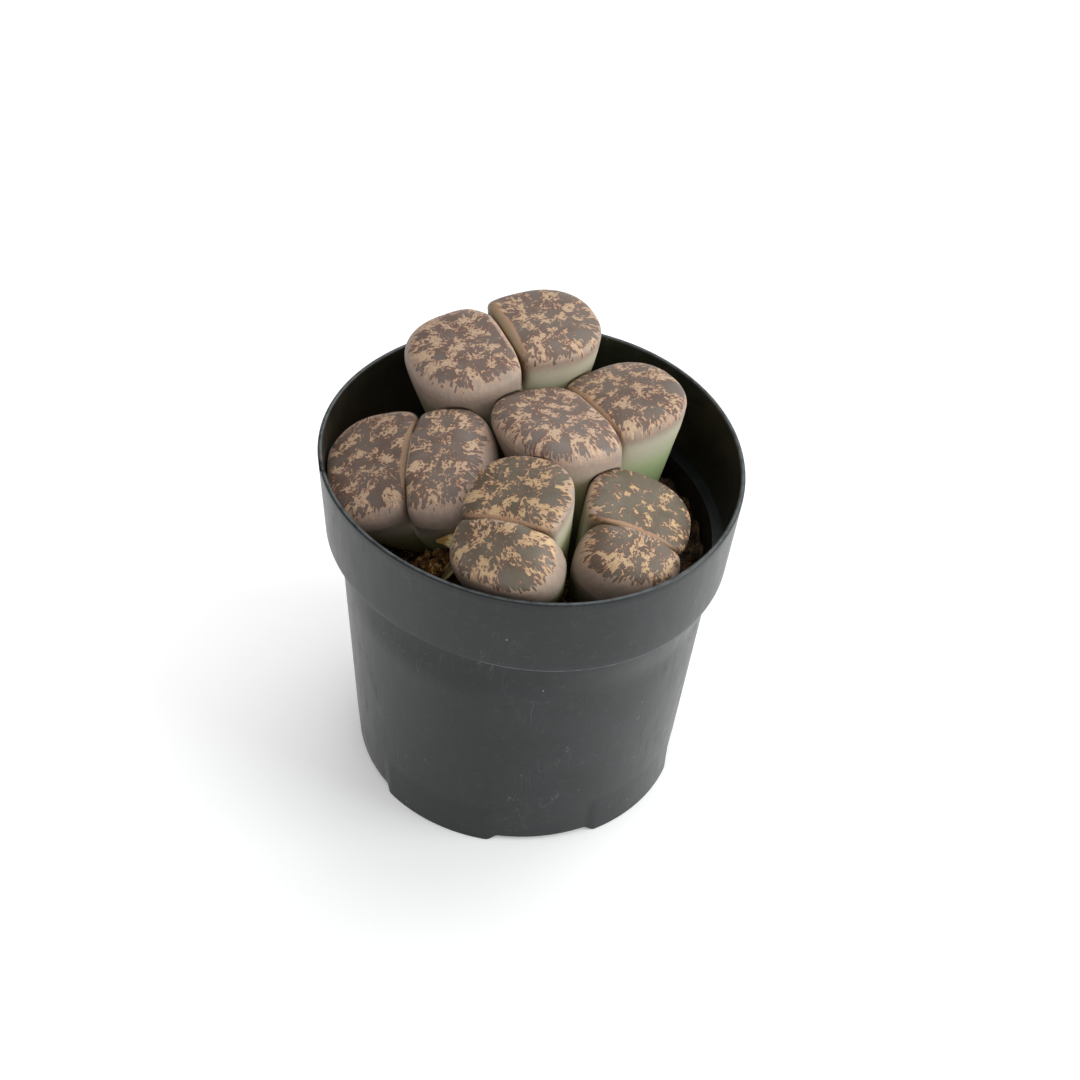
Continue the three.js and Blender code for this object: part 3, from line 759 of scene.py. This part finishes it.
def build_dry_skin(material):
    rows, columns = DRY_SKIN.rows, DRY_SKIN.columns
    foot, knee, tip = (np.array(place) for place in (DRY_SKIN.foot, DRY_SKIN.knee, DRY_SKIN.tip))
    hollow = DRY_SKIN.hollow
    u_scale, v_scale = DRY_SKIN.ripple_scale

    def sheet(offset):
        points = []
        for row in range(rows + 1):
            v = row / rows
            middle = (1 - v) ** 2 * foot + 2 * v * (1 - v) * knee + v * v * tip
            along = (1 - v) * (knee - foot) + v * (tip - knee)
            along /= np.linalg.norm(along)
            across = np.array(DRY_SKIN.across)
            across = across - across @ along * along
            across /= np.linalg.norm(across)
            out = np.cross(across, along)
            ends = lerp(DRY_SKIN.foot_share, DRY_SKIN.tip_share, v)
            width = DRY_SKIN.width * lerp(ends, 1, math.sin(math.pi * v))
            for column in range(columns + 1):
                u = column / columns - 0.5
                turn = width / hollow * u
                place = Vector((u_scale * u, v_scale * v, DRY_SKIN.ripple_place))
                ripple = DRY_SKIN.ripple * noise.noise(place)
                edge = 1 - DRY_SKIN.thinned * (2 * abs(u)) ** 3
                radius = hollow + offset * edge + ripple
                points.append(middle + across * radius * math.sin(turn)
                              + out * (radius * math.cos(turn) - hollow))
        return points

    outside = sheet(DRY_SKIN.thickness / 2)
    inside = sheet(-DRY_SKIN.thickness / 2)
    back = len(outside)

    def at(row, column):
        return row * (columns + 1) + column

    faces = []
    for row in range(rows):
        for column in range(columns):
            a, b = at(row, column), at(row, column + 1)
            c, d = at(row + 1, column + 1), at(row + 1, column)
            faces += [(a, b, c, d), (back + a, back + d, back + c, back + b)]
        for column, flip in ((0, False), (columns, True)):
            a, b = at(row, column), at(row + 1, column)
            face = (a, b, back + b, back + a)
            faces.append(face[::-1] if flip else face)
    for column in range(columns):
        for row, flip in ((0, False), (rows, True)):
            a, b = at(row, column), at(row, column + 1)
            face = (a, back + a, back + b, b)
            faces.append(face[::-1] if flip else face)
    grain = [(i % (columns + 1)) / columns for i in range(back)] * 2
    along = [(i // (columns + 1)) / rows for i in range(back)] * 2
    make_piece("dry_skin_flake", outside + inside, faces, material, "dry_skin_front",
               {"grain": grain, "along": along})


# ---------- materials ----------

def srgb(*steps):
    """A colour as light, from a picture's 0 to 255 steps."""
    shares = [step / 255 for step in steps]
    return (*(((c + 0.055) / 1.055) ** 2.4 if c > 0.04 else c / 12.92 for c in shares), 1.0)


class NodeWriter:
    """Writes node trees."""

    def __init__(self, tree):
        self.tree = tree

    def node(self, kind, values=(), **settings):
        """A node, with a list or a dict of what goes into its sockets."""
        node = self.tree.nodes.new("ShaderNode" + kind)
        for key, value in settings.items():
            setattr(node, key, value)
        for key, value in values.items() if isinstance(values, dict) else enumerate(values):
            self.feed(node.inputs[key], value)
        return node

    def feed(self, socket, value):
        if isinstance(value, bpy.types.NodeSocket):
            self.tree.links.new(value, socket)
        elif value is not None:
            socket.default_value = value

    def attribute(self, name, kind="Fac"):
        return self.node("Attribute", attribute_name=name).outputs[kind]

    def place(self, kind="Object"):
        return self.node("TexCoord").outputs[kind]

    def math(self, operation, *values):
        return self.node("Math", values, operation=operation).outputs[0]

    def minus(self, a, b):
        return self.math("SUBTRACT", a, b)

    def times(self, a, b):
        return self.math("MULTIPLY", a, b)

    def times_plus(self, a, b, c):
        return self.math("MULTIPLY_ADD", a, b, c)

    def vector(self, operation, a, b=None, scale=None):
        values = {0: a, 1: b} if scale is None else {0: a, "Scale": scale}
        node = self.node("VectorMath", values, operation=operation)
        return node.outputs["Value" if operation in ("LENGTH", "DOT_PRODUCT") else "Vector"]

    def axes(self, vector):
        return self.node("SeparateXYZ", [vector]).outputs

    def noise(self, vector, scale, detail=2.0, roughness=0.5, distortion=0.0, kind="Fac"):
        values = {"Vector": vector, "Scale": scale, "Detail": detail}
        values.update(Roughness=roughness, Distortion=distortion)
        return self.node("TexNoise", values).outputs[kind]

    def voronoi(self, vector, scale, feature="F1"):
        values = {"Vector": vector, "Scale": scale}
        return self.node("TexVoronoi", values, feature=feature).outputs["Distance"]

    def step(self, value, low, high, to_low=0.0, to_high=1.0):
        values = (value, low, high, to_low, to_high)
        return self.node("MapRange", values, interpolation_type="SMOOTHSTEP").outputs[0]

    def mix(self, share, a, b):
        """Of two sockets or colours. A colour is given in a picture's 0 to 255 steps."""
        node = self.node("Mix", {"Factor": share}, data_type="RGBA")
        sockets = [socket for socket in node.inputs if socket.type == "RGBA"]
        for socket, colour in zip(sockets, (a, b)):
            self.feed(socket, colour if isinstance(colour, bpy.types.NodeSocket) else srgb(*colour))
        return [socket for socket in node.outputs if socket.type == "RGBA"][0]

    def bump(self, height, distance, strength):
        values = {"Height": height, "Distance": distance, "Strength": strength}
        return self.node("Bump", values).outputs[0]


class Material(NodeWriter):
    def __init__(self, name):
        self.material = bpy.data.materials.new(name)
        self.material.use_nodes = True
        super().__init__(self.material.node_tree)
        self.shader = self.tree.nodes["Principled BSDF"]

    def set(self, **values):
        for key, value in values.items():
            self.feed(self.shader.inputs[key.replace("_", " ")], value)


def leaf_material():
    m = Material("lithops_skin")
    pattern, border = m.attribute("pattern", "Vector"), m.attribute("border", "Vector")
    above, inward, face_edge, dark_share, olive, green, band_width = map(
        m.attribute, ("above", "inward", "face_edge", "dark", "olive", "green", "band"))

    # where the dark face ends: dark teeth with light wedges between them
    wedges = m.voronoi(border, 1.5)
    fine_wedges = m.voronoi(border, 3.3)
    bays = m.noise(border, 0.45)
    at_fissure = m.step(inward, *SKIN.at_fissure)
    margin = m.minus(above, face_edge)
    margin = m.times_plus(m.minus(0.42, wedges), 3.0, margin)
    margin = m.times_plus(m.minus(0.42, fine_wedges), 1.6, margin)
    margin = m.times_plus(m.minus(bays, 0.5), 1.6, margin)
    face = m.step(margin, -0.16, 0.2)

    # light islands with spiky outlines between the dark windows
    warp = m.vector("SUBTRACT", m.noise(pattern, 0.7, kind="Color"), (0.5, 0.5, 0.5))
    warped = m.vector("ADD", pattern, m.vector("SCALE", warp, scale=1.4))
    islands = m.noise(warped, 0.4, 3.0, 0.5)
    spikes = m.voronoi(warped, 1.9)
    fine_spikes = m.voronoi(warped, 4.0)
    branch = m.times_plus(m.minus(spikes, 0.45), 0.34, islands)
    branch = m.times_plus(m.minus(fine_spikes, 0.45), 0.17, branch)
    branch = m.math("ADD", branch, m.step(above, 3.5, 0.8, 0.0, 0.03))
    over = m.minus(branch, dark_share)
    channel = m.step(over, -0.02, 0.03)
    fringe = m.times(m.step(over, -0.11, -0.01), m.step(over, 0.03, -0.01))
    dark = m.times(face, m.minus(1.0, channel))

    # colours of the windows
    tone = m.noise(pattern, 0.24, 3.0, 0.6)
    fine = m.noise(pattern, 3.2, 3.0, 0.6)
    brown = m.mix(m.step(tone, 0.35, 0.62), (104, 84, 75), (110, 98, 91))
    olive_brown = m.mix(m.step(tone, 0.35, 0.62), (84, 76, 57), (98, 89, 73))
    window = m.mix(olive, brown, olive_brown)
    window = m.mix(m.step(fine, 0.4, 0.8, 0.0, 0.3), window, (120, 105, 94))

    # colours of the islands, redder towards their edges
    pale = m.mix(m.step(fine, 0.35, 0.7), (178, 151, 128), (194, 168, 142))
    yellow = m.mix(m.step(fine, 0.35, 0.7), (178, 149, 110), (196, 168, 126))
    sand = m.mix(olive, pale, yellow)
    sand = m.mix(m.step(over, 0.0, 0.11, 0.85, 0.0), sand, (162, 120, 94))

    # side of the body: pinkish near the face, greyer and then green lower down
    streaks = m.noise(border, 1.6, 3.0, 0.6)
    side = m.mix(m.step(streaks, 0.35, 0.7), (160, 139, 126), (146, 131, 119))
    side = m.mix(m.step(above, -1.5, -8.0), side, (158, 150, 108))
    pale_green = m.mix(m.step(above, -2.5, -9.0), (184, 178, 156), (160, 176, 126))
    side = m.mix(m.times(m.step(above, 0.3, -2.5), green), side, pale_green)
    specks = m.voronoi(border, 1.9)
    side = m.mix(m.step(specks, 0.16, 0.05, 0.0, 0.35), side, (98, 82, 74))
    side = m.mix(m.step(margin, -1.6, 0.0, 0.0, 0.6), side, (178, 148, 124))

    skin = m.mix(channel, window, sand)
    skin = m.mix(m.times(fringe, m.step(tone, 0.62, 0.4, 0.3, 0.85)), skin, (112, 78, 66))
    skin = m.mix(face, side, skin)

    # lips along the fissure: a tan band on one leaf, a thin pale line on the other
    lip_noise = m.times_plus(m.noise(border, 1.4), 0.6, -0.3)
    inside_band = m.minus(m.math("ADD", above, lip_noise), band_width)
    band = m.times(m.step(band_width, 0.2, 0.8), m.step(inside_band, 0.2, -0.2))
    band_colour = m.mix(m.step(above, 0.2, 1.0), (112, 92, 68), (142, 120, 94))
    band_colour = m.mix(m.step(inside_band, -1.0, -0.2), band_colour, (170, 130, 102))
    band_colour = m.mix(m.step(streaks, 0.42, 0.62, 0.0, 0.4), band_colour, (140, 124, 98))
    line = m.times(m.step(band_width, 0.8, 0.2), m.step(above, 1.25, 0.85, 0.0, 0.75))
    line_colour = m.mix(m.step(above, 0.6, 0.2), (184, 158, 138), (150, 110, 80))
    skin = m.mix(m.times(at_fissure, band), skin, band_colour)
    skin = m.mix(m.times(at_fissure, line), skin, line_colour)
    # painted shade inside the fissure: below its top the leaves' walls are drawn dark brown
    painted_fissure_shade = m.times(at_fissure, m.step(above, -0.2, -1.4))
    skin = m.mix(painted_fissure_shade, skin, (66, 48, 32))

    # relief: raised islands, fine skin grain
    grain = m.noise(m.place(), 5200.0, 3.0, 0.6)
    height = m.times_plus(m.times(face, channel), 0.6, m.times(grain, 0.25))
    pores = m.voronoi(m.place(), 3800.0)
    height = m.times_plus(m.step(pores, 0.0, 0.4), 0.15, height)
    m.set(
        Base_Color=skin,
        Roughness=m.times_plus(dark, -0.10, 0.56),
        Specular_IOR_Level=0.42,
        Subsurface_Weight=0.12,
        Subsurface_Radius=(1.0, 0.55, 0.3),
        Subsurface_Scale=0.0016,
        Normal=m.bump(height, 0.00012, 0.7),
    )
    return m.material


def pot_material():
    m = Material("pot_plastic")
    place = m.place()

    # dust in smears, fine scratches and pale specks
    clouds = m.noise(place, 90.0, 4.0, 0.6)
    smears = m.noise(m.vector("MULTIPLY", place, (1.0, 1.0, 0.25)), 520.0, 5.0, 0.65)
    specks = m.voronoi(place, 420.0)
    size = m.noise(place, 160.0)
    speck = m.times(m.step(specks, 0.085, 0.03), m.step(size, 0.55, 0.66))
    scratch_noise = m.noise(m.vector("MULTIPLY", place, (1.0, 1.0, 0.18)), 300.0, 2.0, 0.5, 1.4)
    scratch = m.step(m.math("ABSOLUTE", m.minus(scratch_noise, 0.5)), 0.004, 0.0)
    scratch = m.times(scratch, m.step(clouds, 0.55, 0.66))
    dust = m.times(m.step(smears, 0.56, 0.78), m.step(clouds, 0.42, 0.62))
    base = m.mix(m.step(clouds, 0.35, 0.65), (14, 18, 19), (21, 26, 27))
    base = m.mix(m.times(dust, 0.35), base, (78, 78, 74))
    base = m.mix(m.times(scratch, 0.5), base, (120, 122, 118))
    base = m.mix(m.times(speck, 0.8), base, (176, 172, 160))

    # soil dust on the inside; painted highlight lines along the rim's top and the collar's lower
    # edge
    height_mm = m.math("DIVIDE", m.axes(place)["Z"], MM)
    outwards = m.vector("MULTIPLY", place, (1.0, 1.0, 0.0))
    radius_mm = m.math("DIVIDE", m.vector("LENGTH", outwards), MM)
    normal = m.node("NewGeometry").outputs["Normal"]
    inner_side = m.step(m.vector("DOT_PRODUCT", normal, outwards), -0.008, -0.02)
    soil_dust = m.times(inner_side, m.step(clouds, 0.3, 0.65, 0.1, 0.4))
    base = m.mix(soil_dust, base, (72, 62, 42))
    # painted highlight: pale lines along the top of the rim and the collar's lower edge, broken up
    # by the smears
    lip = m.step(height_mm, POT.height - 0.17, POT.height - 0.03)
    off_edge = m.math("ABSOLUTE", m.minus(height_mm, COLLAR_FOOT + 0.1))
    collar_edge = m.times(m.step(off_edge, 0.3, 0.1), m.step(radius_mm, 30.1, 30.4))
    painted_edge_highlight = m.times(m.math("MAXIMUM", lip, collar_edge), m.step(smears, 0.38, 0.56, 0.35, 1.0))
    base = m.mix(m.times(painted_edge_highlight, 0.7), base, (84, 90, 92))

    # mottling, gloss and relief
    mottle = m.noise(place, 750.0, 4.0, 0.7)
    base = m.mix(m.step(mottle, 0.5, 0.75, 0.0, 0.5), base, (44, 48, 48))
    roughness = m.times_plus(smears, 0.16, 0.20)
    roughness = m.times_plus(mottle, 0.12, roughness)
    roughness = m.times_plus(dust, 0.2, roughness)
    grain = m.noise(place, 3000.0)
    height = m.times_plus(scratch, -0.5, m.times(grain, 0.2))
    height = m.times_plus(mottle, 0.6, height)
    height = m.times_plus(speck, 1.0, height)
    m.set(
        Base_Color=base,
        Roughness=roughness,
        Specular_IOR_Level=0.36,
        Normal=m.bump(height, 0.00005, 0.5),
    )
    return m.material


def soil_material():
    m = Material("potting_mix")
    place = m.place()

    # lumps, grains, fibres and torn edges; the palest crumbs; painted shade towards the right
    coarse = m.noise(place, 420.0, 6.0, 0.7, 0.4)
    fine = m.noise(place, 2600.0, 4.0, 0.65)
    fibres = m.noise(m.vector("MULTIPLY", place, (1.0, 0.3, 0.6)), 1500.0, 3.0, 0.6, 1.5)
    tone = m.attribute("tone")
    bent = m.vector("SCALE", m.noise(place, 900.0, 2.0, 0.55, kind="Color"), scale=0.0012)
    torn = m.voronoi(m.vector("ADD", place, bent), 620.0, "DISTANCE_TO_EDGE")
    torn_edge = m.times(m.step(torn, 0.05, 0.01), m.step(coarse, 0.42, 0.6))
    base = m.mix(m.step(coarse, 0.38, 0.68), (30, 19, 9), (146, 98, 50))
    base = m.mix(m.step(fine, 0.55, 0.75, 0.0, 0.6), base, (184, 138, 74))
    base = m.mix(m.step(fibres, 0.62, 0.70, 0.0, 0.8), base, (206, 166, 98))
    base = m.mix(m.times(torn_edge, 0.85), base, (228, 182, 104))
    base = m.mix(m.step(tone, 0.78, 0.86, 0.0, 0.8), base, (168, 140, 98))
    # painted shade: the soil is drawn darker towards +X
    painted_shade_right = m.step(m.math("DIVIDE", m.axes(place)["X"], MM), 8.0, 22.0, 0.0, 0.75)
    base = m.mix(painted_shade_right, base, (24, 17, 11))
    height = m.math("ADD", coarse, m.times(fine, 0.4))
    height = m.times_plus(m.step(torn, 0.0, 0.2), 0.4, height)
    m.set(
        Base_Color=base,
        Roughness=m.step(fine, 0.3, 0.8, 0.95, 0.7),
        Specular_IOR_Level=0.3,
        Normal=m.bump(height, 0.0006, 0.9),
    )
    return m.material


def dry_skin_material():
    m = Material("dry_leaf")
    place = m.place()
    grain = m.attribute("grain")
    warp = m.noise(place, 500.0)
    lines = m.math("SINE", m.times_plus(warp, 10.0, m.times(grain, 46.0)))
    blotch = m.noise(place, 650.0, 4.0, 0.6)
    along = m.attribute("along")
    base = m.mix(m.step(blotch, 0.4, 0.66), (226, 206, 148), (166, 126, 66))
    base = m.mix(m.step(lines, 0.2, 1.0, 0.0, 0.4), base, (128, 92, 44))
    off_middle = m.math("ABSOLUTE", m.minus(grain, 0.5))
    shaded = m.times(m.step(off_middle, 0.46, 0.3), m.step(along, 0.62, 0.4))
    base = m.mix(m.times(shaded, 0.75), base, (70, 52, 26))
    m.set(
        Base_Color=base,
        Roughness=m.step(blotch, 0.3, 0.7, 0.5, 0.75),
        Specular_IOR_Level=0.4,
        Subsurface_Weight=0.12,
        Subsurface_Radius=(1.0, 0.6, 0.25),
        Subsurface_Scale=0.001,
        Normal=m.bump(lines, 0.00008, 0.6),
    )
    return m.material


# ---------- stage ----------

def build_camera():
    e, roll = math.radians(CAMERA.elevation), math.radians(CAMERA.roll)
    back = Vector((0, -math.cos(e), math.sin(e)))
    up = Vector((0, math.sin(e), math.cos(e)))
    right = Vector((1, 0, 0))
    x_axis = right * math.cos(roll) + up * math.sin(roll)
    y_axis = up * math.cos(roll) - right * math.sin(roll)
    place = Vector(CAMERA.aim) + back * CAMERA.distance
    place += x_axis * CAMERA.aside[0] + y_axis * CAMERA.aside[1]
    data = bpy.data.cameras.new("camera")
    data.lens = CAMERA.lens
    data.sensor_width = CAMERA.sensor
    data.clip_end = CAMERA.clip_end
    camera = add_object("camera", data)
    turn = Matrix((x_axis, y_axis, back)).transposed().to_4x4()
    camera.matrix_world = Matrix.Translation(place * MM) @ turn
    bpy.context.scene.camera = camera


def add_light(name, place, size, power, colour):
    """A square soft light that looks at the plant."""
    data = bpy.data.lights.new(name, "AREA")
    data.shape = "SQUARE"
    data.size = size
    data.energy = power
    data.color = colour
    turn = (Vector(LIGHT_AIM) - Vector(place)).to_track_quat("-Z", "Y")
    add_object(name, data).matrix_world = Matrix.Translation(place) @ turn.to_matrix().to_4x4()


def build_stage():
    m = Material("floor_white")
    clouds = m.noise(m.place(), FLOOR.cloud_scale)
    m.set(
        Base_Color=m.times_plus(clouds, FLOOR.cloud_depth, FLOOR.shade),
        Roughness=0.9,
        Specular_IOR_Level=0.1,
        Emission_Color=(1.0, 1.0, 1.0, 1.0),
        Emission_Strength=FLOOR.glow,
    )
    reach = FLOOR.reach
    corners = ((-reach, -reach, 0), (reach, -reach, 0), (reach, reach, 0), (-reach, reach, 0))
    floor = make_object("floor", corners, [(0, 1, 2, 3)])
    floor.data.materials.append(m.material)
    world = bpy.data.worlds.new("studio")
    world.use_nodes = True
    w = NodeWriter(world.node_tree)
    inputs = world.node_tree.nodes["Background"].inputs
    w.feed(inputs["Color"], w.step(w.axes(w.place("Generated"))["X"], *WORLD.rise))
    w.feed(inputs["Strength"], WORLD.strength)
    bpy.context.scene.world = world
    for light in LIGHTS:
        add_light(*light)


build_camera()
build_stage()
build_pot(pot_material())
soil_look = soil_material()
build_soil(soil_look)
build_crumbs(soil_look)
build_heads(leaf_material())
build_dry_skin(dry_skin_material())
bpy.context.scene.view_settings.view_transform = "Standard"
